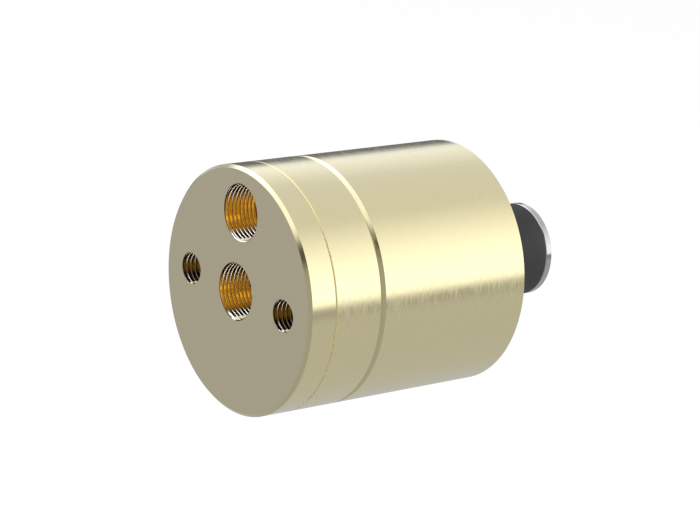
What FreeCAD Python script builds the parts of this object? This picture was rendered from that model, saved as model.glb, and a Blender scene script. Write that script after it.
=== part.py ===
"""Internal pipe sealing connector: a hollow rod with a piston on it draws an end disc towards the
housing, and so squeezes a rubber sleeve outwards against the inside of a pipe.

Units are millimetres. X runs along the turned axis, from the port face at x = 0 towards the
seal. Z points up through the pilot port. The origin is the centre of the media port's mouth.
"""
import FreeCAD, Part

import math
import os

from FreeCAD import Vector

# Housing, outside
housing_radius = 28.0
cap_flange_length = 7.0
head_ring_length = 12.5
main_body_length = 40.0
edge_chamfer = 0.7
joint_line_chamfer = 0.22
rear_edge_chamfer = 0.25
nose_radius = 10.7
nose_length = 7.0
nose_chamfer = 0.3

# Fits
static_clearance = 0.05
running_clearance = 0.03
ring_squeeze_gap = 0.03

# Ports and mounting holes in the port cap, all on one pitch circle round the media port
port_radius = 6.58
port_depth = 9.5
hole_circle_radius = 18.0
mounting_hole_radius = 4.0
mounting_hole_depth = 9.5
drill_point_half_angle = 59.0
media_passage_radius = 5.5
gallery_radius = 1.3
gallery_circle_radius = 23.2

# Register between port cap and cylinder head
register_length = 4.0
register_wall = 1.8

# Cap screws, driven from inside the cylinder head into the port cap
cap_screw_count = 4
cap_screw_circle_radius = 16.0
cap_screw_radius = 2.0
cap_screw_length = 16.0
cap_screw_head_radius = 3.5
cap_screw_head_length = 4.0
cap_screw_socket_flats = 3.0
cap_screw_socket_depth = 2.0
cap_screw_hole_clearance = 0.15
cap_screw_head_clearance = 0.2
cap_screw_tip_clearance = 0.7

# Cylinder head
spigot_length = 6.0
spigot_step = 1.5
spigot_end_gap = 0.3
spigot_chamfer = 0.4
spring_pocket_depth = 4.0
spring_pocket_clearance = 0.4
guide_boss_radius = 7.8
tail_relief_radius = 6.0
tail_relief_length = 6.0

# Cylinder in the main body
cylinder_radius = 19.5
cylinder_depth = 29.0
inlet_groove_radius = 22.6
inlet_groove_width = 3.0
gallery_run_on = 1.0
vent_radius = 1.0
vent_from_joint = 8.5

# Draw rod
tail_radius = 5.0
rod_radius = 6.5
rod_bore_radius = 3.0
tail_length = 18.5
tail_chamfer = 0.5
rod_shoulder_from_stop = 4.5
stroke = 3.0

# Piston
piston_length = 14.0
piston_gap = 0.1
piston_chamfer = 0.4
stop_pad_radius = 12.0
stop_pad_height = 0.8
piston_pocket_depth = 5.5
guide_band_width = 4.0
guide_band_thickness = 1.5
guide_band_from_front = 1.5
piston_ring_width = 3.0
piston_ring_depth = 2.3
piston_ring_from_rear = 3.5
bore_ring_width = 1.9
bore_ring_depth = 1.3
bore_ring_from_shoulder = 0.9

# Piston nut
nut_flats = 14.0
nut_length = 4.5
nut_corner_chamfer = 0.5

# Return spring
spring_mean_radius = 9.6
spring_wire_radius = 1.0
spring_turns = 6
spring_turn_gap = 0.1
spring_lengths_per_turn = 14
spring_wire_sides = 12

# Bushes and sealing rings
tail_bush_wall = 1.3
tail_bush_length = 4.7
tail_ring_width = 2.2
tail_ring_depth = 1.4
tail_ring_from_bush = 0.6
rod_bush_wall = 1.5
rod_bush_from_ring = 1.4
bush_chamfer = 0.3
rod_ring_width = 2.6
rod_ring_depth = 1.8
rod_ring_from_cylinder = 2.0
spigot_ring_width = 2.0
spigot_ring_depth = 1.1
spigot_ring_from_end = 0.8
joint_ring_rim = 1.8
joint_ring_width = 1.2
joint_ring_depth = 1.0
media_ring_inner_radius = 7.5
media_ring_outer_radius = 9.7
media_ring_depth = 1.5
pilot_ring_inner_radius = 1.75
pilot_ring_outer_radius = 2.85
pilot_ring_depth = 0.8

# Seal stack
sleeve_radius = 10.85
sleeve_length = 14.3
sleeve_bore_clearance = 0.1
sleeve_edge_radius = 0.25
end_disc_radius = 10.85
end_disc_length = 1.7
end_disc_edge_chamfer = 0.15
end_screw_radius = 4.0
end_screw_length = 8.5
end_screw_head_radius = 6.4
end_screw_head_land = 0.3
end_screw_bore_radius = 2.2
end_screw_socket_flats = 6.0
end_screw_socket_depth = 3.0
end_screw_tip_gap = 0.6

# Stations along the axis
cap_joint_x = cap_flange_length
register_x = cap_joint_x + register_length
body_joint_x = cap_joint_x + head_ring_length
head_end_x = body_joint_x + spigot_length
cylinder_end_x = body_joint_x + cylinder_depth
body_end_x = body_joint_x + main_body_length
nose_end_x = body_end_x + nose_length
sleeve_end_x = nose_end_x + sleeve_length
disc_end_x = sleeve_end_x + end_disc_length
spring_seat_x = head_end_x - spring_pocket_depth
piston_end_x = cylinder_end_x
piston_front_x = piston_end_x - piston_length
piston_pocket_x = piston_front_x + piston_pocket_depth
rod_shoulder_x = piston_end_x - rod_shoulder_from_stop
tail_end_x = piston_front_x - tail_length
tail_bush_x = head_end_x - tail_bush_length
tail_ring_x = tail_bush_x - tail_ring_from_bush - tail_ring_width
rod_ring_x = cylinder_end_x + rod_ring_from_cylinder
rod_bush_x = rod_ring_x + rod_ring_width + rod_bush_from_ring
spigot_ring_x = head_end_x - spigot_ring_from_end - spigot_ring_width
guide_band_x = piston_front_x + guide_band_from_front
piston_ring_x = piston_end_x - piston_ring_from_rear - piston_ring_width
bore_ring_x = rod_shoulder_x - bore_ring_from_shoulder - bore_ring_width
cap_screw_head_x = head_end_x - cap_screw_head_length - cap_screw_head_clearance
cap_screw_tip_x = cap_screw_head_x - cap_screw_length
inlet_groove_x = cylinder_end_x - inlet_groove_width
vent_x = body_joint_x + vent_from_joint

# Radii that follow from the fits
register_radius = housing_radius - register_wall
joint_ring_outer_radius = housing_radius - joint_ring_rim
joint_ring_inner_radius = joint_ring_outer_radius - joint_ring_width
spigot_radius = cylinder_radius + spigot_step
spring_pocket_radius = spring_mean_radius + spring_wire_radius + spring_pocket_clearance
tail_bore_radius = tail_radius + running_clearance
rod_bore_in_body_radius = rod_radius + 2 * running_clearance
tail_bush_radius = tail_bore_radius + tail_bush_wall
rod_bush_inner_radius = rod_radius + running_clearance
rod_bush_radius = rod_bush_inner_radius + rod_bush_wall
piston_radius = cylinder_radius - piston_gap
piston_seat_radius = tail_radius + static_clearance
piston_counterbore_radius = rod_radius + static_clearance
guide_band_radius = cylinder_radius - running_clearance
end_screw_seat_radius = end_screw_radius + static_clearance


def turned(points):
    """A solid of revolution about X from (x, radius) corners listed in order round the section."""
    corners = [Vector(x, 0, r) for x, r in points]
    face = Part.Face(Part.makePolygon(corners + corners[:1]))
    return face.revolve(Vector(0, 0, 0), Vector(1, 0, 0), 360)


def ring(start_x, end_x, inner, outer):
    """A plain turned ring between two stations."""
    return turned([(start_x, inner), (end_x, inner), (end_x, outer), (start_x, outer)])


def rod(start_x, end_x, radius, y=0.0, z=0.0):
    """A plain cylinder along X."""
    return Part.makeCylinder(radius, end_x - start_x, Vector(start_x, y, z), Vector(1, 0, 0))


def blind_hole(start_x, depth, radius, y=0.0, z=0.0, towards=1):
    """A drilled hole with its cone point, entering at start_x."""
    point = radius / math.tan(math.radians(drill_point_half_angle))
    direction = Vector(towards, 0, 0)
    hole = Part.makeCylinder(radius, depth, Vector(start_x, y, z), direction)
    cone = Part.makeCone(radius, 0, point, Vector(start_x + towards * depth, y, z), direction)
    return hole.fuse(cone).removeSplitter()


def hexagon(start_x, end_x, flats):
    """A hexagonal prism along X, measured across its flats."""
    corner_radius = flats / math.sqrt(3)
    corners = []
    for side in range(6):
        angle = math.radians(60 * side)
        corners.append(Vector(start_x, corner_radius * math.cos(angle), corner_radius * math.sin(angle)))
    face = Part.Face(Part.makePolygon(corners + corners[:1]))
    return face.extrude(Vector(end_x - start_x, 0, 0))


def sealing_ring(middle_x, inner, outer, width, y=0.0, z=0.0):
    """A round rubber ring that fills its groove: the section is the smaller of the groove's two sides."""
    section_radius = min(outer - inner, width) / 2 - ring_squeeze_gap
    mean_radius = (inner + outer) / 2
    return Part.makeTorus(mean_radius, section_radius, Vector(middle_x, y, z), Vector(1, 0, 0))


def round_pattern(shape, count, first_angle):
    """Copies of a shape spaced evenly about the X axis."""
    copies = []
    for number in range(count):
        copy = shape.copy()
        copy.rotate(Vector(0, 0, 0), Vector(1, 0, 0), first_angle + 360.0 * number / count)
        copies.append(copy)
    return copies


def cap_screw_places(shape):
    return round_pattern(shape, cap_screw_count, 180.0 / cap_screw_count)


def port_cap():
    blank = turned([
        (0, 0),
        (0, housing_radius - edge_chamfer),
        (edge_chamfer, housing_radius),
        (cap_joint_x - joint_line_chamfer, housing_radius),
        (cap_joint_x, housing_radius - joint_line_chamfer),
        (cap_joint_x, register_radius - static_clearance),
        (register_x, register_radius - static_clearance),
        (register_x, 0),
    ])
    cuts = [
        rod(0, port_depth, port_radius),
        rod(0, register_x, media_passage_radius),
        rod(0, port_depth, port_radius, z=hole_circle_radius),
        rod(0, register_x, gallery_radius, z=gallery_circle_radius),
        blind_hole(0, mounting_hole_depth, mounting_hole_radius, y=hole_circle_radius),
        blind_hole(0, mounting_hole_depth, mounting_hole_radius, y=-hole_circle_radius),
    ]
    tapped_depth = register_x - cap_screw_tip_x + cap_screw_tip_clearance
    tapped = blind_hole(
        register_x, tapped_depth, cap_screw_radius + static_clearance, z=cap_screw_circle_radius, towards=-1
    )
    return blank.cut(cuts + cap_screw_places(tapped))


def cylinder_head():
    blank = turned([
        (register_x, tail_relief_radius),
        (register_x, register_radius),
        (cap_joint_x, register_radius),
        (cap_joint_x, housing_radius - joint_line_chamfer),
        (cap_joint_x + joint_line_chamfer, housing_radius),
        (body_joint_x - edge_chamfer, housing_radius),
        (body_joint_x, housing_radius - edge_chamfer),
        (body_joint_x, spigot_radius),
        (head_end_x - spigot_chamfer, spigot_radius),
        (head_end_x, spigot_radius - spigot_chamfer),
        (head_end_x, spring_pocket_radius),
        (spring_seat_x, spring_pocket_radius),
        (spring_seat_x, guide_boss_radius),
        (head_end_x, guide_boss_radius),
        (head_end_x, tail_bush_radius + static_clearance),
        (tail_bush_x, tail_bush_radius + static_clearance),
        (tail_bush_x, tail_bore_radius + running_clearance),
        (tail_ring_x + tail_ring_width, tail_bore_radius + running_clearance),
        (tail_ring_x + tail_ring_width, tail_radius + tail_ring_depth),
        (tail_ring_x, tail_radius + tail_ring_depth),
        (tail_ring_x, tail_bore_radius + running_clearance),
        (register_x + tail_relief_length, tail_bore_radius + running_clearance),
        (register_x + tail_relief_length, tail_relief_radius),
    ])
    pilot_groove = ring(register_x, register_x + pilot_ring_depth, pilot_ring_inner_radius, pilot_ring_outer_radius)
    pilot_groove.translate(Vector(0, 0, gallery_circle_radius))
    gallery_groove = ring(
        body_joint_x - gallery_radius,
        body_joint_x,
        gallery_circle_radius - gallery_radius,
        gallery_circle_radius + gallery_radius,
    )
    shank_hole = rod(
        register_x, head_end_x, cap_screw_radius + cap_screw_hole_clearance, z=cap_screw_circle_radius
    )
    head_hole = rod(
        cap_screw_head_x, head_end_x, cap_screw_head_radius + cap_screw_head_clearance, z=cap_screw_circle_radius
    )
    cuts = [
        ring(register_x, register_x + media_ring_depth, media_ring_inner_radius, media_ring_outer_radius),
        pilot_groove,
        gallery_groove,
        rod(register_x, body_joint_x, gallery_radius, z=gallery_circle_radius),
        ring(
            body_joint_x - joint_ring_depth, body_joint_x, joint_ring_inner_radius, joint_ring_outer_radius
        ),
        ring(
            spigot_ring_x, spigot_ring_x + spigot_ring_width, spigot_radius - spigot_ring_depth, spigot_radius + 1
        ),
    ]
    return blank.cut(cuts + cap_screw_places(shank_hole.fuse(head_hole)))


def main_body():
    counterbore_radius = spigot_radius + static_clearance
    counterbore_x = head_end_x + spigot_end_gap
    bush_seat_radius = rod_bush_radius + static_clearance
    blank = turned([
        (body_joint_x, counterbore_radius),
        (body_joint_x, housing_radius - edge_chamfer),
        (body_joint_x + edge_chamfer, housing_radius),
        (body_end_x - rear_edge_chamfer, housing_radius),
        (body_end_x, housing_radius - rear_edge_chamfer),
        (body_end_x, nose_radius),
        (nose_end_x - nose_chamfer, nose_radius),
        (nose_end_x, nose_radius - nose_chamfer),
        (nose_end_x, bush_seat_radius),
        (rod_bush_x, bush_seat_radius),
        (rod_bush_x, rod_bore_in_body_radius),
        (rod_ring_x + rod_ring_width, rod_bore_in_body_radius),
        (rod_ring_x + rod_ring_width, rod_radius + rod_ring_depth),
        (rod_ring_x, rod_radius + rod_ring_depth),
        (rod_ring_x, rod_bore_in_body_radius),
        (cylinder_end_x, rod_bore_in_body_radius),
        (cylinder_end_x, inlet_groove_radius),
        (inlet_groove_x, inlet_groove_radius),
        (inlet_groove_x, cylinder_radius),
        (counterbore_x, cylinder_radius),
        (counterbore_x, counterbore_radius),
    ])
    gallery = rod(body_joint_x, inlet_groove_x + gallery_run_on, gallery_radius, z=gallery_circle_radius)
    vent = Part.makeCylinder(vent_radius, housing_radius, Vector(vent_x, 0, 0), Vector(0, 0, -1))
    return blank.cut([gallery, vent])


def cap_screws():
    shank = rod(cap_screw_tip_x, cap_screw_head_x, cap_screw_radius)
    head = rod(cap_screw_head_x, cap_screw_head_x + cap_screw_head_length, cap_screw_head_radius)
    head_end = cap_screw_head_x + cap_screw_head_length
    socket = hexagon(head_end - cap_screw_socket_depth, head_end, cap_screw_socket_flats)
    screw = shank.fuse(head).cut(socket)
    screw.translate(Vector(0, 0, cap_screw_circle_radius))
    return Part.makeCompound(cap_screw_places(screw))


def media_face_ring():
    return sealing_ring(
        register_x + media_ring_depth / 2, media_ring_inner_radius, media_ring_outer_radius, media_ring_depth
    )


def pilot_face_ring():
    return sealing_ring(
        register_x + pilot_ring_depth / 2,
        pilot_ring_inner_radius,
        pilot_ring_outer_radius,
        pilot_ring_depth,
        z=gallery_circle_radius,
    )


def joint_face_ring():
    return sealing_ring(
        body_joint_x - joint_ring_depth / 2, joint_ring_inner_radius, joint_ring_outer_radius, joint_ring_depth
    )


def spigot_ring():
    return sealing_ring(
        spigot_ring_x + spigot_ring_width / 2,
        spigot_radius - spigot_ring_depth,
        spigot_radius + static_clearance,
        spigot_ring_width,
    )


def tail_bush():
    return turned([
        (tail_bush_x, tail_bore_radius),
        (head_end_x, tail_bore_radius),
        (head_end_x, tail_bush_radius - bush_chamfer),
        (head_end_x - bush_chamfer, tail_bush_radius),
        (tail_bush_x + bush_chamfer, tail_bush_radius),
        (tail_bush_x, tail_bush_radius - bush_chamfer),
    ])


def tail_ring():
    return sealing_ring(
        tail_ring_x + tail_ring_width / 2, tail_radius, tail_radius + tail_ring_depth, tail_ring_width
    )


def rod_bush():
    return turned([
        (rod_bush_x, rod_bush_inner_radius),
        (nose_end_x, rod_bush_inner_radius),
        (nose_end_x, rod_bush_radius - bush_chamfer),
        (nose_end_x - bush_chamfer, rod_bush_radius),
        (rod_bush_x + bush_chamfer, rod_bush_radius),
        (rod_bush_x, rod_bush_radius - bush_chamfer),
    ])


def rod_ring():
    return sealing_ring(rod_ring_x + rod_ring_width / 2, rod_radius, rod_radius + rod_ring_depth, rod_ring_width)


def return_spring():
    """A compression spring with a closed turn at each end, wound in short straight lengths of wire."""
    seat_to_seat = piston_pocket_x - spring_seat_x
    closed_pitch = 2 * spring_wire_radius + spring_turn_gap
    open_turns = spring_turns - 2
    open_pitch = (seat_to_seat - 2 * spring_wire_radius - 2 * closed_pitch) / open_turns
    path = []
    for step in range(spring_turns * spring_lengths_per_turn + 1):
        turn = step / spring_lengths_per_turn
        rise = closed_pitch * min(turn, 1)
        rise += open_pitch * min(max(turn - 1, 0), open_turns)
        rise += closed_pitch * max(turn - 1 - open_turns, 0)
        angle = 2 * math.pi * turn
        path.append(Vector(
            spring_seat_x + spring_wire_radius + rise,
            spring_mean_radius * math.cos(angle),
            spring_mean_radius * math.sin(angle),
        ))
    along = (path[1] - path[0]).normalize()
    outwards = Vector(0, 1, 0)
    across = along.cross(outwards).normalize()
    corners = []
    for side in range(spring_wire_sides):
        angle = 2 * math.pi * side / spring_wire_sides
        spoke = outwards * math.cos(angle) + across * math.sin(angle)
        corners.append(path[0] + spoke * spring_wire_radius)
    section = Part.makePolygon(corners + corners[:1])
    return Part.makePolygon(path).makePipeShell([section], True, False, 1)


def draw_rod():
    end_bore_x = sleeve_end_x - end_screw_length - end_screw_tip_gap
    return turned([
        (tail_end_x, rod_bore_radius),
        (tail_end_x, tail_radius - tail_chamfer),
        (tail_end_x + tail_chamfer, tail_radius),
        (rod_shoulder_x, tail_radius),
        (rod_shoulder_x, rod_radius),
        (sleeve_end_x, rod_radius),
        (sleeve_end_x, end_screw_seat_radius),
        (end_bore_x, end_screw_seat_radius),
        (end_bore_x, rod_bore_radius),
    ])


def piston():
    pad_start_x = piston_end_x - stop_pad_height
    blank = turned([
        (piston_pocket_x, piston_seat_radius),
        (piston_pocket_x, spring_pocket_radius),
        (piston_front_x, spring_pocket_radius),
        (piston_front_x, piston_radius - piston_chamfer),
        (piston_front_x + piston_chamfer, piston_radius),
        (pad_start_x - piston_chamfer, piston_radius),
        (pad_start_x, piston_radius - piston_chamfer),
        (pad_start_x, stop_pad_radius),
        (piston_end_x, stop_pad_radius),
        (piston_end_x, piston_counterbore_radius),
        (rod_shoulder_x, piston_counterbore_radius),
        (rod_shoulder_x, piston_seat_radius),
    ])
    band_groove = ring(
        guide_band_x, guide_band_x + guide_band_width, guide_band_radius - guide_band_thickness, cylinder_radius
    )
    ring_groove = ring(
        piston_ring_x, piston_ring_x + piston_ring_width, cylinder_radius - piston_ring_depth, cylinder_radius
    )
    bore_groove = ring(bore_ring_x, bore_ring_x + bore_ring_width, tail_radius, tail_radius + bore_ring_depth)
    return blank.cut([band_groove, ring_groove, bore_groove])


def piston_guide_band():
    return ring(
        guide_band_x + static_clearance,
        guide_band_x + guide_band_width - static_clearance,
        guide_band_radius - guide_band_thickness + static_clearance,
        guide_band_radius,
    )


def piston_ring():
    return sealing_ring(
        piston_ring_x + piston_ring_width / 2,
        cylinder_radius - piston_ring_depth,
        cylinder_radius,
        piston_ring_width,
    )


def piston_bore_ring():
    return sealing_ring(
        bore_ring_x + bore_ring_width / 2, tail_radius, tail_radius + bore_ring_depth, bore_ring_width
    )


def piston_nut():
    nut_start_x = piston_pocket_x - nut_length
    prism = hexagon(nut_start_x, piston_pocket_x, nut_flats)
    corner_radius = nut_flats / math.sqrt(3)
    rounded = turned([
        (nut_start_x, 0),
        (nut_start_x, corner_radius - nut_corner_chamfer),
        (nut_start_x + nut_corner_chamfer, corner_radius),
        (piston_pocket_x, corner_radius),
        (piston_pocket_x, 0),
    ])
    return prism.common(rounded).cut(rod(nut_start_x, piston_pocket_x, piston_seat_radius))


def seal_sleeve():
    sleeve = ring(nose_end_x, sleeve_end_x, rod_radius + sleeve_bore_clearance, sleeve_radius)
    outer_edges = []
    for edge in sleeve.Edges:
        on_outside = isinstance(edge.Curve, Part.Circle) and abs(edge.Curve.Radius - sleeve_radius) < 1e-6
        if on_outside:
            outer_edges.append(edge)
    return sleeve.makeFillet(sleeve_edge_radius, outer_edges)


def end_disc():
    countersink_depth = end_disc_length - end_screw_head_land
    seat_radius = end_screw_head_radius + static_clearance
    return turned([
        (sleeve_end_x, seat_radius - countersink_depth),
        (sleeve_end_x + countersink_depth, seat_radius),
        (disc_end_x, seat_radius),
        (disc_end_x, end_disc_radius - end_disc_edge_chamfer),
        (disc_end_x - end_disc_edge_chamfer, end_disc_radius),
        (sleeve_end_x + end_disc_edge_chamfer, end_disc_radius),
        (sleeve_end_x, end_disc_radius - end_disc_edge_chamfer),
    ])


def end_screw():
    countersink_depth = end_disc_length - end_screw_head_land
    blank = turned([
        (sleeve_end_x - end_screw_length, end_screw_bore_radius),
        (sleeve_end_x - end_screw_length, end_screw_radius),
        (sleeve_end_x, end_screw_radius),
        (sleeve_end_x, end_screw_head_radius - countersink_depth),
        (sleeve_end_x + countersink_depth, end_screw_head_radius),
        (disc_end_x, end_screw_head_radius),
        (disc_end_x, end_screw_bore_radius),
    ])
    return blank.cut(hexagon(disc_end_x - end_screw_socket_depth, disc_end_x, end_screw_socket_flats))


PIECES = [
    port_cap,
    cylinder_head,
    main_body,
    cap_screws,
    media_face_ring,
    pilot_face_ring,
    joint_face_ring,
    spigot_ring,
    tail_bush,
    tail_ring,
    rod_bush,
    rod_ring,
    return_spring,
    draw_rod,
    piston,
    piston_guide_band,
    piston_ring,
    piston_bore_ring,
    piston_nut,
    seal_sleeve,
    end_disc,
    end_screw,
]

os.makedirs("parts", exist_ok=True)
for make_piece in PIECES:
    make_piece().exportStep("parts/" + make_piece.__name__ + ".step")
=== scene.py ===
"""An internal pipe sealing connector in pale turned brass, seen over its port face."""
import math

import bmesh
import bpy
from mathutils import Matrix, Vector


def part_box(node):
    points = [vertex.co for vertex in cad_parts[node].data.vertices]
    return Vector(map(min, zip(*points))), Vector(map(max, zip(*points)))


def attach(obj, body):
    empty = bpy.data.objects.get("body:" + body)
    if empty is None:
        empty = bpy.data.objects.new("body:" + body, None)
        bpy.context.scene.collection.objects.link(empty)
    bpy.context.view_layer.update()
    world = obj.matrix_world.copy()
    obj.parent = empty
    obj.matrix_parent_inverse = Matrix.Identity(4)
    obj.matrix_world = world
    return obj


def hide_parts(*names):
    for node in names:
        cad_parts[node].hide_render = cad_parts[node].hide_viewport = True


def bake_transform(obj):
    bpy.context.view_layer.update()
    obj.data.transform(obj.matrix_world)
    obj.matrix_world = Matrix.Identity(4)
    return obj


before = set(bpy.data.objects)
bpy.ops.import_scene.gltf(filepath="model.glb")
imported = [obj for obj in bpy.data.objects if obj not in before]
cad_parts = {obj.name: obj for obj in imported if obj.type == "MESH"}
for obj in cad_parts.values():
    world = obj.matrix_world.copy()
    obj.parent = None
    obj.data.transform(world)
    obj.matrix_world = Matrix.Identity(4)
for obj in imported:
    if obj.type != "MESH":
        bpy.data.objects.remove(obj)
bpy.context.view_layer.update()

scene = bpy.context.scene
scene.view_settings.view_transform = "Standard"

MM = 0.001
HOUSING = "housing"
HOLE_OFFSET = 18.0  # mm, of the pilot port and of both mounting holes from the media port
PORT_RADIUS = 6.58  # mm
MOUNTING_RADIUS = 4.0  # mm
TAPPED_HOLES = {
    "media_port": (0.0, 0.0, PORT_RADIUS),
    "pilot_port": (0.0, HOLE_OFFSET, PORT_RADIUS),
    "mounting_left": (HOLE_OFFSET, 0.0, MOUNTING_RADIUS),
    "mounting_right": (-HOLE_OFFSET, 0.0, MOUNTING_RADIUS),
}


# Small tools

def colour(code):
    """An sRGB hex colour as the linear values that a shader takes."""
    channels = [int(code[place:place + 2], 16) / 255 for place in (0, 2, 4)]
    linear = [c / 12.92 if c <= 0.04045 else ((c + 0.055) / 1.055) ** 2.4 for c in channels]
    return (*linear, 1.0)


def add_node(tree, kind, inputs=None, **settings):
    """One shader node, with its settings, its socket values and the links into it."""
    made = tree.nodes.new("ShaderNode" + kind)
    for name, value in settings.items():
        setattr(made, name, value)
    for key, value in (inputs or {}).items():
        if isinstance(value, bpy.types.NodeSocket):
            tree.links.new(value, made.inputs[key])
        else:
            made.inputs[key].default_value = value
    return made


def compute(tree, operation, one, other=0.0):
    """The result of a Math node."""
    return add_node(tree, "Math", {0: one, 1: other}, operation=operation).outputs[0]


def compute_vector(tree, operation, one, other=(0.0, 0.0, 0.0)):
    """The result of a VectorMath node, which is a plain value for three of its operations."""
    made = add_node(tree, "VectorMath", {0: one, 1: other}, operation=operation)
    is_value = operation in ("DOT_PRODUCT", "DISTANCE", "LENGTH")
    return made.outputs["Value" if is_value else "Vector"]


def mix_colours(tree, share, low, high):
    return add_node(tree, "Mix", {0: share, 6: low, 7: high}, data_type="RGBA").outputs[2]


def mix_values(tree, share, low, high):
    return add_node(tree, "Mix", {0: share, 2: low, 3: high}, data_type="FLOAT").outputs[0]


def spread(tree, value, low, high, out_low, out_high):
    """The value's place between low and high, spread from out_low to out_high and held there."""
    made = add_node(
        tree,
        "MapRange",
        {"Value": value, "From Min": low, "From Max": high, "To Min": out_low, "To Max": out_high},
    )
    return made.outputs["Result"]


def new_material(name):
    material = bpy.data.materials.new(name)
    material.use_nodes = True
    material.node_tree.nodes.clear()
    return material, material.node_tree


def finish_material(tree, shader_inputs):
    shader = add_node(tree, "BsdfPrincipled", shader_inputs)
    add_node(tree, "OutputMaterial", {"Surface": shader.outputs["BSDF"]})


def noise(tree, vector, detail=2.0, roughness=0.5):
    inputs = {"Vector": vector, "Scale": 1.0, "Detail": detail, "Roughness": roughness}
    return add_node(tree, "TexNoise", inputs).outputs["Fac"]


def object_place(tree):
    return add_node(tree, "TexCoord").outputs["Object"]


def along_axis(tree, vector):
    return add_node(tree, "SeparateXYZ", {0: vector}).outputs["X"]


def across_axis(tree, place):
    """The place's offset from the part's axis."""
    return compute_vector(tree, "MULTIPLY", place, (0.0, 1.0, 1.0))


def in_cycles(tree, place, along, around):
    """A place in cycles: so many per millimetre along the axis, and so many across it."""
    return compute_vector(tree, "MULTIPLY", place, (along / MM, around / MM, around / MM))


def stretched_place(tree, along, around):
    return in_cycles(tree, object_place(tree), along, around)


def turned_place(tree, along, around):
    """The same for marks that a lathe tool leaves: they run round the axis on turned and faced
    surfaces alike."""
    place = object_place(tree)
    x, y, z = add_node(tree, "SeparateXYZ", {0: place}).outputs
    radius = compute_vector(tree, "LENGTH", across_axis(tree, place))
    travel = compute(tree, "ADD", x, radius)
    place = add_node(tree, "CombineXYZ", {"X": travel, "Y": y, "Z": z}).outputs[0]
    return in_cycles(tree, place, along, around)


def round_normal(tree):
    """The direction of the surface, made truly round on the outside of the housing, the nose and the
    disc, so that the seam along their meshes doesn't show in reflections."""
    rear_station, housing_least, nose_least = 59.0 * MM, 27.0 * MM, 9.5 * MM
    coordinates = add_node(tree, "TexCoord")
    place, facing = coordinates.outputs["Object"], coordinates.outputs["Normal"]
    flat = across_axis(tree, place)
    behind = compute(tree, "GREATER_THAN", along_axis(tree, place), rear_station)
    least = spread(tree, behind, 0.0, 1.0, housing_least, nose_least)
    outside = compute(tree, "GREATER_THAN", compute_vector(tree, "LENGTH", flat), least)
    sideways = compute_vector(tree, "CROSS_PRODUCT", flat, (1.0, 0.0, 0.0))
    sideways = compute_vector(tree, "NORMALIZE", sideways)
    lean = compute(tree, "MULTIPLY", compute_vector(tree, "DOT_PRODUCT", facing, sideways), outside)
    off = add_node(tree, "VectorMath", {0: sideways, "Scale": lean}, operation="SCALE").outputs[0]
    turned = add_node(
        tree,
        "VectorTransform",
        {0: compute_vector(tree, "SUBTRACT", facing, off)},
        vector_type="NORMAL",
        convert_from="OBJECT",
        convert_to="WORLD",
    )
    return turned.outputs[0]


def bumped(tree, height, strength, distance_mm, normal=None):
    inputs = {"Height": height, "Strength": strength, "Distance": distance_mm * MM}
    if normal is not None:
        inputs["Normal"] = normal
    return add_node(tree, "Bump", inputs).outputs[0]


# Camera, fitted to the photograph

camera_data = bpy.data.cameras.new("camera")
camera_data.lens = 125.08
camera_data.sensor_width = 36.0
camera = bpy.data.objects.new("camera", camera_data)
scene.collection.objects.link(camera)
camera_place = Vector((-290.9, -415.7, 166.6)) * MM
camera_right = Vector((0.8025, -0.5920, 0.0747))
camera_up = Vector((0.1197, 0.2824, 0.9518))
camera_back = Vector((-0.5846, -0.7548, 0.2975))
camera_turn = Matrix((camera_right, camera_up, camera_back)).transposed()
camera.matrix_world = Matrix.Translation(camera_place) @ camera_turn.to_4x4()
scene.camera = camera


# Materials

PALE_BRASS = "F4E9B8"
STREAK_BRASS = ("F2E7B4", "F7ECBE")
# deeper gold painted on the bore walls, standing in for light bounced round inside the bores
BORE_BOUNCED_LIGHT_GOLD = "F0B860"
EDGE_BRASS = "DED096"
# painted shade: black on thread flanks that get little light
PAINTED_FLANK_SHADE = "040201"
# painted light on thread flanks that look into the bore
FAR_FLANK_PAINTED_LIGHT = "CC9638"
# painted shade on the mouth's rim, and painted light on the bore's foot
RIM_SHADE = "2A261C"
LIT_FOOT = "C9C4A2"
# painted highlight on the lit crests
LIT_CREST = "FFFFFA"


def bore_mask(tree, place):
    """1 inside any of the cap's four tapped holes, 0 outside them and on the port face."""
    face_margin, wall_margin = 0.02, 0.04
    below_face = compute(tree, "GREATER_THAN", along_axis(tree, place), face_margin * MM)
    flat = across_axis(tree, place)
    inside_any = 0.0
    for y, z, radius in TAPPED_HOLES.values():
        away = compute_vector(tree, "DISTANCE", flat, (0.0, y * MM, z * MM))
        inside = compute(tree, "LESS_THAN", away, (radius + wall_margin) * MM)
        inside_any = compute(tree, "MAXIMUM", inside_any, inside)
    return compute(tree, "MULTIPLY", inside_any, below_face)


def joint_edge_mask(tree, place):
    """1 on the broken edges of the joint between port cap and cylinder head, 0 elsewhere."""
    joint_station, half_width, least_radius = 7.0 * MM, 0.21 * MM, 27.7 * MM
    off = compute(tree, "SUBTRACT", along_axis(tree, place), joint_station)
    near = compute(tree, "LESS_THAN", compute(tree, "ABSOLUTE", off), half_width)
    radius = compute_vector(tree, "LENGTH", across_axis(tree, place))
    outside = compute(tree, "GREATER_THAN", radius, least_radius)
    return compute(tree, "MULTIPLY", near, outside)


def finish_brass(tree, tone, roughness, normal, film_roughness):
    """Bare brass under a thin film of oil, which shines at a glancing angle. It is duller and rougher
    on the joint's edges, which are broken with a file."""
    edge = joint_edge_mask(tree, object_place(tree))
    edge_roughness = spread(tree, edge, 0.0, 1.0, 0.0, 0.4)
    finish_material(tree, {
        "Base Color": mix_colours(tree, edge, tone, colour(EDGE_BRASS)),
        "Metallic": spread(tree, edge, 0.0, 1.0, 1.0, 0.89),
        "Roughness": compute(tree, "MAXIMUM", roughness, edge_roughness),
        "Normal": normal,
        "Coat Weight": 1.0,
        "Coat Roughness": film_roughness,
    })


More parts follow.
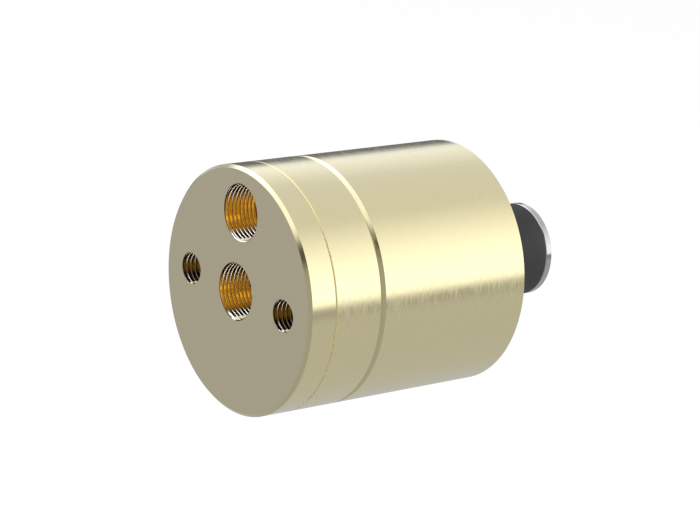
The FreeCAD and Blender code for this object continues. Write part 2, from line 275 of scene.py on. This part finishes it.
def fine_turned_brass():
    """Pale brass, faced and turned with a fine feed, with an even, close sheen."""
    material, tree = new_material("fine_turned_brass")
    mask = bore_mask(tree, object_place(tree))
    # The bore walls are painted a deeper gold, which stands in for light bounced round inside them.
    tone = mix_colours(tree, mask, colour(PALE_BRASS), colour(BORE_BOUNCED_LIGHT_GOLD))
    marks = noise(tree, stretched_place(tree, 3.0, 0.02), detail=3.0)
    grain = noise(tree, stretched_place(tree, 1.0, 1.0), detail=3.0)
    roughness = spread(tree, grain, 0.3, 0.7, 0.15, 0.19)
    finish_brass(tree, tone, roughness, bumped(tree, marks, 0.05, 0.02, round_normal(tree)), 0.15)
    return material


def turned_brass():
    """Pale brass turned with a coarser feed: short streaks run round it and fray the highlights."""
    material, tree = new_material("turned_brass")
    feed = noise(tree, turned_place(tree, 3.5, 0.02), detail=3.0)
    streaks = noise(tree, turned_place(tree, 2.6, 0.45), detail=2.0, roughness=0.6)
    tone = mix_colours(tree, streaks, *(colour(code) for code in STREAK_BRASS))
    roughness = spread(tree, streaks, 0.3, 0.7, 0.14, 0.29)
    finish_brass(tree, tone, roughness, bumped(tree, feed, 0.12, 0.02, round_normal(tree)), 0.2)
    return material


def thread_brass_painted_light(name, tones, top_limits, foot_limits, lit_limits, lit_depths, glints):
    """Cut threads in the same brass, with their light and shade painted into the colour. Light
    bounces in real threads many times; here their flanks are painted deep gold where they face
    across the bore and painted black above and below, while the narrow crests are painted pale.

    Each pair of limits says where a band begins and where it is full. They are heights of the
    direction that a face looks in round the bore: -1 looks down from its top, 1 looks up from its
    foot. lit_depths, in mm, are where the foot's crests, painted white as if lit, begin and end to
    fade. A glint is a painted highlight: a line of bright gold with its height, its half width and
    the depths, in mm, where it is nil and full.
    """
    material, tree = new_material(name)
    coordinates = add_node(tree, "TexCoord")
    facing = coordinates.outputs["Normal"]
    along = along_axis(tree, facing)
    round_bore = compute_vector(tree, "NORMALIZE", across_axis(tree, facing))
    lift = add_node(tree, "SeparateXYZ", {0: round_bore}).outputs["Z"]
    depth = along_axis(tree, coordinates.outputs["Object"])

    def mix(share, low, high):
        return mix_colours(tree, share, low, high)

    def multiply(one, other):
        return compute(tree, "MULTIPLY", one, other)

    def most(one, other):
        return compute(tree, "MAXIMUM", one, other)

    def by_depth(low_mm, high_mm, out_low, out_high):
        return spread(tree, depth, low_mm * MM, high_mm * MM, out_low, out_high)

    gold_low, gold_high, painted_root_light, ridge_gold, painted_crest_highlight = (colour(tone) for tone in tones)
    # black is a painted shade for flanks that get little light
    black = colour(PAINTED_FLANK_SHADE)
    top = spread(tree, lift, *top_limits, 0.0, 1.0)
    foot = spread(tree, lift, *foot_limits, 0.0, 1.0)
    lit = spread(tree, lift, *lit_limits, 0.0, 1.0)

    # Gold on the flanks: mottled, with painted highlights along the glint lines, and painted lighter
    # towards the roots against the shade that falls there.
    grain = noise(tree, stretched_place(tree, 0.1, 0.55), detail=2.0)
    share = spread(tree, grain, 0.35, 0.65, 0.0, 0.3)
    for centre, half_width, depth_from, depth_to in glints:
        off = compute(tree, "ABSOLUTE", compute(tree, "SUBTRACT", lift, centre))
        line = spread(tree, off, 0.0, half_width, 1.0, 0.0)
        share = most(share, multiply(line, by_depth(depth_from, depth_to, 0.0, 1.0)))
    gold = mix(share, gold_low, gold_high)
    gold = mix(spread(tree, along, -0.70, -0.84, 0.0, 1.0), gold, painted_root_light)
    # Painted shade: the flanks are painted black near the top and the foot of the bore and near the
    # mouth.
    shaded_mouth = by_depth(0.15, 0.35, 0.8, 0.0)
    flank = mix(most(most(top, foot), shaded_mouth), gold, black)

    # Crests: a painted pale highlight, and a painted white highlight at the foot, where it spreads wider
    # and the first turn is painted lit all over.
    first_turn = multiply(by_depth(0.2, 0.28, 0.0, 1.0), by_depth(0.3, 0.42, 1.0, 0.0))
    # white is the share of painted white highlight on the lit crests at the foot
    white = multiply(lit, by_depth(*lit_depths, 1.0, 0.1))
    crest = mix(white, mix(top, ridge_gold, painted_crest_highlight), colour(LIT_CREST))
    narrow = spread(tree, along, -0.42, -0.22, 0.0, 1.0)
    wide = spread(tree, along, -0.30, -0.12, 0.0, 1.0)
    on_crest = most(mix_values(tree, white, narrow, wide), multiply(first_turn, lit))
    tone = mix(on_crest, flank, crest)

    # Painted light and shade: gold or black on flanks that look into the bore, painted shade on the rim
    # of the mouth, and a painted lit foot below the crests.
    far_flank = mix(most(top, foot), colour(FAR_FLANK_PAINTED_LIGHT), black)
    tone = mix(spread(tree, along, 0.08, 0.35, 0.0, 1.0), tone, far_flank)
    rim = multiply(by_depth(0.1, 0.25, 0.9, 0.0), spread(tree, lift, 0.95, 0.98, 1.0, 0.0))
    tone = mix(rim, tone, colour(RIM_SHADE))
    tone = mix(spread(tree, lift, 0.988, 0.997, 0.0, 0.85), tone, colour(LIT_FOOT))

    finish_material(tree, {
        "Base Color": tone,
        "Metallic": spread(tree, multiply(on_crest, white), 0.0, 1.0, 0.55, 0.05),
        "Roughness": spread(tree, grain, 0.3, 0.7, 0.2, 0.26),
        "Specular IOR Level": 0.1,
    })
    return material


def moulded_rubber(name, tone_low, tone_high):
    """Nitrile rubber from a plain mould: matt, near black, with a faint mottle."""
    material, tree = new_material(name)
    mottle = noise(tree, stretched_place(tree, 0.6, 0.6), detail=4.0)
    grain = noise(tree, stretched_place(tree, 5.0, 5.0), detail=2.0)
    finish_material(tree, {
        "Base Color": mix_colours(tree, mottle, colour(tone_low), colour(tone_high)),
        "Roughness": spread(tree, mottle, 0.3, 0.7, 0.55, 0.68),
        "IOR": 1.52,
        "Specular IOR Level": 0.3,
        "Normal": bumped(tree, grain, 0.25, 0.02),
    })
    return material


def turned_metal(name, tone_low, tone_high, rough_low, rough_high):
    """A steel or aluminium piece turned on a lathe: faint rings round the axis."""
    material, tree = new_material(name)
    rings = noise(tree, turned_place(tree, 4.0, 0.05), detail=2.0)
    finish_material(tree, {
        "Base Color": mix_colours(tree, rings, colour(tone_low), colour(tone_high)),
        "Metallic": 1.0,
        "Roughness": spread(tree, rings, 0.3, 0.7, rough_low, rough_high),
        "Normal": bumped(tree, rings, 0.1, 0.01, round_normal(tree)),
    })
    return material


def bearing_plastic():
    """Acetal with a glass filler, moulded: off-white and slightly mottled."""
    material, tree = new_material("bearing_plastic")
    mottle = noise(tree, stretched_place(tree, 1.2, 1.2), detail=4.0)
    finish_material(tree, {
        "Base Color": mix_colours(tree, mottle, colour("D9D3C2"), colour("E6E1D3")),
        "Roughness": spread(tree, mottle, 0.3, 0.7, 0.38, 0.48),
        "IOR": 1.48,
    })
    return material


# Thread colours with light painted in: low gold, high gold that also gives the painted glint highlights,
# painted light at the roots, and the crests' gold and painted pale highlight
PORT_PAINTED_TONES = ("664008", "D09020", "CE922E", "98722A", "FCF0D8")
HOLE_PAINTED_TONES = ("342206", "563A10", "563A10", "644C28", "FFF4DA")

fine_brass = fine_turned_brass()
body_brass = turned_brass()
# The thread materials below paint light and shade into their colour.
media_port_brass_painted_light = thread_brass_painted_light(
    "media_port_brass_painted_light",
    PORT_PAINTED_TONES,
    top_limits=(0.12, -0.38),
    foot_limits=(0.70, 0.92),
    lit_limits=(0.86, 0.95),
    lit_depths=(12.0, 13.0),
    glints=[(0.21, 0.12, 4.0, 2.5), (0.54, 0.14, 3.0, 5.0)],
)
pilot_port_brass_painted_light = thread_brass_painted_light(
    "pilot_port_brass_painted_light",
    PORT_PAINTED_TONES,
    top_limits=(-0.03, -0.5),
    foot_limits=(0.70, 0.92),
    lit_limits=(0.76, 0.92),
    lit_depths=(12.0, 13.0),
    glints=[(0.16, 0.10, 2.0, 6.0), (0.48, 0.14, 5.0, 3.5), (0.0, 0.6, 0.0, 9.0)],
)
hole_brass_painted_light = thread_brass_painted_light(
    "hole_brass_painted_light",
    HOLE_PAINTED_TONES,
    top_limits=(0.1, -0.45),
    foot_limits=(0.30, 0.7),
    lit_limits=(0.6, 0.8),
    lit_depths=(0.45, 1.6),
    glints=[],
)
ring_rubber = moulded_rubber("ring_rubber", "1C1C1D", "262627")
sleeve_rubber = moulded_rubber("sleeve_rubber", "242324", "2A292A")
polished_steel = turned_metal("polished_steel", "C4C4C4", "CECECE", 0.06, 0.11)
ground_steel = turned_metal("ground_steel", "B9B9BA", "C6C6C5", 0.22, 0.3)
spring_steel = turned_metal("spring_steel", "A9A9AB", "B8B8B9", 0.28, 0.36)
black_steel = turned_metal("black_oxide_steel", "26262A", "303034", 0.35, 0.45)
piston_aluminium = turned_metal("piston_aluminium", "D4D5D7", "E0E1E2", 0.22, 0.3)
acetal = bearing_plastic()

NODE_FINISH = {
    "port_cap": fine_brass,
    "cylinder_head": body_brass,
    "main_body": body_brass,
    "cap_screws": black_steel,
    "media_face_ring": ring_rubber,
    "pilot_face_ring": ring_rubber,
    "joint_face_ring": ring_rubber,
    "spigot_ring": ring_rubber,
    "tail_bush": acetal,
    "tail_ring": ring_rubber,
    "rod_bush": acetal,
    "rod_ring": ring_rubber,
    "return_spring": spring_steel,
    "draw_rod": ground_steel,
    "piston": piston_aluminium,
    "piston_guide_band": acetal,
    "piston_ring": ring_rubber,
    "piston_bore_ring": ring_rubber,
    "piston_nut": ground_steel,
    "seal_sleeve": sleeve_rubber,
    "end_disc": polished_steel,
    "end_screw": polished_steel,
}
for node_name, material in NODE_FINISH.items():
    for material_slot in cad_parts[node_name].material_slots:
        material_slot.material = material


# Pieces

AXIS = (1.0, 0.0, 0.0)


def piece_from(bm, name, materials, sharp_angle):
    """Turns a bmesh into a piece with smooth faces, sharp where it folds by more than the angle."""
    for face in bm.faces:
        face.smooth = True
    for edge in bm.edges:
        if len(edge.link_faces) == 2:
            edge.smooth = edge.calc_face_angle(0.0) < math.radians(sharp_angle)
    mesh = bpy.data.meshes.new(name)
    bm.to_mesh(mesh)
    bm.free()
    for material in materials:
        mesh.materials.append(material)
    piece = bpy.data.objects.new(name, mesh)
    scene.collection.objects.link(piece)
    return piece


def helical_thread(name, hole, start, material, pitch, height, mouth_height, length):
    """The standing ridge of an internal right-hand thread, countersunk to a lesser height at the port
    face, where its end takes the cap's brass. Sizes are in mm."""
    y, z, bore_radius = TAPPED_HOLES[hole]
    root = bore_radius - 0.004
    half_section = [(0.12, 0.97), (0.26, 0.78), (0.38, 0.42), (0.49, 0.0)]
    shares = [(-x, rise) for x, rise in reversed(half_section)] + half_section
    section = [(x * pitch, root - rise * height) for x, rise in shares]
    steps_per_turn = 96
    turns_short_of_end = 0.6
    steps = round(((length - start) / pitch - turns_short_of_end) * steps_per_turn)
    bm = bmesh.new()
    corners = [bm.verts.new(((start + x) * MM, y * MM, (z + r) * MM)) for x, r in section]
    bmesh.ops.spin(
        bm,
        geom=[bm.faces.new(corners)],
        cent=(0.0, y * MM, z * MM),
        axis=AXIS,
        dvec=(pitch / steps_per_turn * MM, 0.0, 0.0),
        angle=2 * math.pi * steps / steps_per_turn,
        steps=steps,
        use_merge=False,
    )
    countersink_edge, port_face = 0.4, 0.0
    for station in (countersink_edge, port_face):
        cut = bmesh.ops.bisect_plane(
            bm,
            geom=bm.verts[:] + bm.edges[:] + bm.faces[:],
            plane_co=(station * MM, 0, 0),
            plane_no=(-1, 0, 0),
            clear_outer=station == port_face,
        )
    edges = [part for part in cut["geom_cut"] if isinstance(part, bmesh.types.BMEdge)]
    bmesh.ops.contextual_create(bm, geom=edges)
    for corner in bm.verts:
        out = Vector((0.0, corner.co.y - y * MM, corner.co.z - z * MM))
        least = (root - mouth_height) * MM - max(corner.co.x, 0.0)
        if out.length < least:
            out.length = least
            corner.co = Vector((corner.co.x, y * MM, z * MM)) + out
    bmesh.ops.recalc_face_normals(bm, faces=bm.faces)
    face_margin = 0.001 * MM
    for face in bm.faces:
        if max(corner.co.x for corner in face.verts) < face_margin:
            face.material_index = 1
    piece = piece_from(bm, name, [material, fine_brass], 40.0)
    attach(piece, HOUSING)


def stand_for(piece, node_name):
    """Has a piece stand for a CAD node whose high end moves with the rod."""
    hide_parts(node_name)
    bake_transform(piece)


def swelling_sleeve():
    """The rubber sleeve, with enough rings along it to shorten smoothly when the rod is drawn in."""
    low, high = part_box("seal_sleeve")
    inner, outer, edge = 6.6 * MM, 10.85 * MM, 0.25 * MM
    stations = 24
    run = high.x - low.x - 2 * edge
    outline = [(low.x + edge + run * (n / stations), outer) for n in range(stations + 1)]
    bore = [(x, inner) for x, _ in reversed(outline)]
    bore[0] = (high.x, inner)
    bore[-1] = (low.x, inner)
    corner = math.cos(math.radians(45)) * edge
    rear = [(high.x - edge + corner, outer - edge + corner), (high.x, outer - edge)]
    front = [(low.x, outer - edge), (low.x + edge - corner, outer - edge + corner)]
    bm = bmesh.new()
    corners = [bm.verts.new((x, 0.0, r)) for x, r in outline + rear + bore + front]
    edges = [bm.edges.new(ends) for ends in zip(corners, corners[1:] + corners[:1])]
    bmesh.ops.spin(
        bm,
        geom=corners + edges,
        cent=(0.0, 0.0, 0.0),
        axis=AXIS,
        angle=2 * math.pi,
        steps=128,
        use_merge=True,
    )
    bmesh.ops.remove_doubles(bm, verts=bm.verts, dist=1e-6)
    bmesh.ops.recalc_face_normals(bm, faces=bm.faces)
    piece = piece_from(bm, "rubber_sleeve", [sleeve_rubber], 50.0)
    stand_for(piece, "seal_sleeve")


def coiled_spring():
    """The return spring, wound from round wire: a closed turn at each end and open turns between."""
    wire_radius, coil_radius, steps_per_turn = 1.0, 9.6, 48
    closed_pitch, open_pitch = 2.1, 3.075
    low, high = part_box("return_spring")
    bm = bmesh.new()
    bmesh.ops.create_circle(bm, cap_ends=True, segments=16, radius=wire_radius * MM)
    bmesh.ops.translate(bm, verts=bm.verts, vec=(low.x + wire_radius * MM, coil_radius * MM, 0.0))
    section = bm.faces[:]
    for turns, pitch in ((1, closed_pitch), (4, open_pitch), (1, closed_pitch)):
        wound = bmesh.ops.spin(
            bm,
            geom=section,
            cent=(0.0, 0.0, 0.0),
            axis=AXIS,
            dvec=(pitch / steps_per_turn * MM, 0.0, 0.0),
            angle=2 * math.pi * turns,
            steps=turns * steps_per_turn,
            use_merge=False,
        )
        section = [part for part in wound["geom_last"] if isinstance(part, bmesh.types.BMFace)]
    bmesh.ops.recalc_face_normals(bm, faces=bm.faces)
    piece = piece_from(bm, "coiled_spring", [spring_steel], 50.0)
    stand_for(piece, "return_spring")


PORT_THREAD = {"pitch": 1.0, "height": 0.36, "mouth_height": 0.14, "length": 9.3}
HOLE_THREAD = {"pitch": 1.1, "height": 0.55, "mouth_height": 0.42, "length": 8.8}
for thread_name, hole_name, first_station, cut_brass, sizes in (
    ("media_port_thread", "media_port", -1.0, media_port_brass_painted_light, PORT_THREAD),
    ("pilot_port_thread", "pilot_port", -0.85, pilot_port_brass_painted_light, PORT_THREAD),
    ("mounting_thread_left", "mounting_left", -0.8, hole_brass_painted_light, HOLE_THREAD),
    ("mounting_thread_right", "mounting_right", -0.78, hole_brass_painted_light, HOLE_THREAD),
):
    helical_thread(thread_name, hole_name, first_station, cut_brass, **sizes)
swelling_sleeve()
coiled_spring()


# Stage, in metres and degrees

FLOOR_HEIGHT = -0.25
FLOOR_RADIUS = 5.8
CARD_RADIUS = 5.5
CARD_GAP = 0.01
TENT_RADIUS = 6.0
# Elevation and brightness of the room's walls, ceiling and floor
ROOM_LEVELS = [(-90, 0.50), (-14, 0.50), (-9, 0.33), (-6, 0.33), (-3, 0.70), (90, 0.70)]
# Azimuth from +X towards +Y, elevation, angles from there where the panel is full and where it has
# faded away, brightness, and whether it stands on the floor
PANELS = [
    (-50, 4, 6, 51, 1.50, True),  # broad window to the right of the camera
    (54, 22, 3, 30, 1.02, True),  # backdrop behind the object
    (55, -4, 13, 23, 0.13, False),  # dark flag below the backdrop
    (150, 50, 30, 41, 1.15, False),  # overhead panel on the port face's side
    (116, 40, 8, 27, 1.95, False),  # bright strip beside it
    (-154, 27, 4, 11, 0.03, False),  # small dark flag to the left of the camera
]


def seen_directly(tree):
    """1 for camera, glossy and transmission rays, which show the white background."""
    path = add_node(tree, "LightPath")
    seen = path.outputs["Is Camera Ray"]
    for kind in ("Is Glossy Ray", "Is Transmission Ray"):
        seen = compute(tree, "MAXIMUM", seen, path.outputs[kind])
    return seen


def sine(degrees):
    return math.sin(math.radians(degrees))


def direction(azimuth, elevation):
    a, e = math.radians(azimuth), math.radians(elevation)
    return (math.cos(e) * math.cos(a), math.cos(e) * math.sin(a), math.sin(e))


def room_level(tree, height):
    """The room's brightness by the height of the direction looked in."""
    ramp = add_node(tree, "ValToRGB", {0: spread(tree, height, -1.0, 1.0, 0.0, 1.0)})
    stops = ramp.color_ramp.elements
    while len(stops) < len(ROOM_LEVELS):
        stops.new(0.5)
    for stop, (elevation, value) in zip(stops, ROOM_LEVELS):
        stop.position = (sine(elevation) + 1) / 2
        stop.color = (value, value, value, 1.0)
    return ramp.outputs[0]


def studio_light(tree, place):
    """The colour and brightness of the studio in each direction from the object: a pale room over a
    grey floor, darker on the port face's side, with soft panels and dark flags. Its light is cooler
    and stronger on the left, and low down in front of the port face."""
    ray = compute_vector(tree, "NORMALIZE", place)
    along, across, height = add_node(tree, "SeparateXYZ", {0: ray}).outputs
    left = spread(tree, across, -0.1, 0.4, 0.0, 1.0)
    front = spread(tree, along, 0.30, 0.0, 0.0, 1.0)
    front_level = spread(tree, left, 0.0, 1.0, 0.38, 0.41)
    level = mix_values(tree, front, room_level(tree, height), front_level)
    above_floor = spread(tree, height, sine(-5), sine(-0.5), 0.0, 1.0)
    for azimuth, elevation, inner, outer, strength, stands_on_floor in PANELS:
        facing = compute_vector(tree, "DOT_PRODUCT", ray, direction(azimuth, elevation))
        turned_away = compute(tree, "ARCCOSINE", facing)
        share = spread(tree, turned_away, math.radians(outer), math.radians(inner), 0.0, 1.0)
        if stands_on_floor:
            share = compute(tree, "MULTIPLY", share, above_floor)
        level = mix_values(tree, share, level, strength)
    upper = compute(tree, "MULTIPLY", left, spread(tree, height, -0.2, 0.0, 0.0, 1.0))
    upper = compute(tree, "MULTIPLY", upper, spread(tree, front, 0.0, 1.0, 0.5, 1.0))
    lower = compute(tree, "MULTIPLY", front, spread(tree, height, -0.2, 0.0, 1.0, 0.0))
    lower = compute(tree, "MULTIPLY", lower, left)
    tint = colour("FFFFFF")
    for share, cool_tint, gain in ((upper, "EFF2FF", 1.16), (lower, "F1F1FF", 1.118)):
        tint = mix_colours(tree, share, tint, colour(cool_tint))
        level = compute(tree, "MULTIPLY", level, spread(tree, share, 0.0, 1.0, 1.0, gain))
    return tint, level


def stage_from(bm, name, material):
    mesh = bpy.data.meshes.new(name)
    bm.to_mesh(mesh)
    bm.free()
    mesh.materials.append(material)
    stage = bpy.data.objects.new(name, mesh)
    scene.collection.objects.link(stage)
    return stage


def glow_stage(bm, name):
    """A stage piece that glows as the studio does in its direction, and that the camera sees through."""
    material, tree = new_material(name)
    tint, level = studio_light(tree, object_place(tree))
    glow = add_node(tree, "Emission", {"Color": tint, "Strength": level})
    add_node(tree, "OutputMaterial", {"Surface": glow.outputs[0]})
    stage = stage_from(bm, name, material)
    stage.visible_camera = False
    return stage


def level_disc(radius, height):
    bm = bmesh.new()
    bmesh.ops.create_circle(bm, cap_ends=True, segments=64, radius=radius)
    bmesh.ops.translate(bm, verts=bm.verts, vec=(0, 0, height))
    return bm


def light_tent():
    """A round tent of white and grey panels far outside the view."""
    bm = bmesh.new()
    bmesh.ops.create_icosphere(bm, subdivisions=4, radius=TENT_RADIUS)
    glow_stage(bm, "light_tent")


def grey_card():
    """A grey card over the floor, which only reflections see."""
    card = glow_stage(level_disc(CARD_RADIUS, FLOOR_HEIGHT + CARD_GAP), "grey_card")
    card.visible_diffuse = False
    card.visible_transmission = False
    card.visible_shadow = False


def pale_floor():
    """A floor of pale matt paint, nearly white to the camera."""
    material, tree = new_material("pale_floor")
    paint = add_node(tree, "BsdfDiffuse", {"Color": colour("F0F0F0")})
    white = add_node(tree, "Emission", {"Color": colour("FFFFFF"), "Strength": 1.0})
    part = compute(tree, "MULTIPLY", seen_directly(tree), 0.9)
    both = add_node(tree, "MixShader", {0: part, 1: paint.outputs[0], 2: white.outputs[0]})
    add_node(tree, "OutputMaterial", {"Surface": both.outputs[0]})
    stage_from(level_disc(FLOOR_RADIUS, FLOOR_HEIGHT), "floor", material)


def white_world():
    """A white background, which lights the object less than the camera sees."""
    world = bpy.data.worlds.new("studio")
    scene.world = world
    world.use_nodes = True
    tree = world.node_tree
    tree.nodes.clear()
    strength = spread(tree, seen_directly(tree), 0.0, 1.0, 0.55, 1.0)
    glow = add_node(tree, "Background", {"Color": colour("FFFFFF"), "Strength": strength})
    add_node(tree, "OutputWorld", {"Surface": glow.outputs[0]})


def softbox(name, aim_mm, azimuth, elevation, distance, size, power):
    """A square lamp that aims at a point of the axis, and that reflections don't show."""
    lamp_data = bpy.data.lights.new(name, "AREA")
    lamp_data.shape = "SQUARE"
    lamp_data.size = size
    lamp_data.energy = power
    lamp = bpy.data.objects.new(name, lamp_data)
    scene.collection.objects.link(lamp)
    towards = Vector(direction(azimuth, elevation))
    place = Vector((aim_mm * MM, 0.0, 0.0)) + towards * distance
    turn = towards.to_track_quat("Z", "Y").to_matrix().to_4x4()
    lamp.matrix_world = Matrix.Translation(place) @ turn
    lamp.visible_camera = False
    lamp.visible_glossy = False


light_tent()
grey_card()
pale_floor()
white_world()
softbox("key_softbox", 40.0, -60, 35, distance=1.2, size=0.8, power=14.0)
softbox("fill_softbox", 40.0, 200, 30, distance=1.4, size=0.9, power=8.0)
softbox("port_softbox", 0.0, -150, 20, distance=1.0, size=0.5, power=23.0)
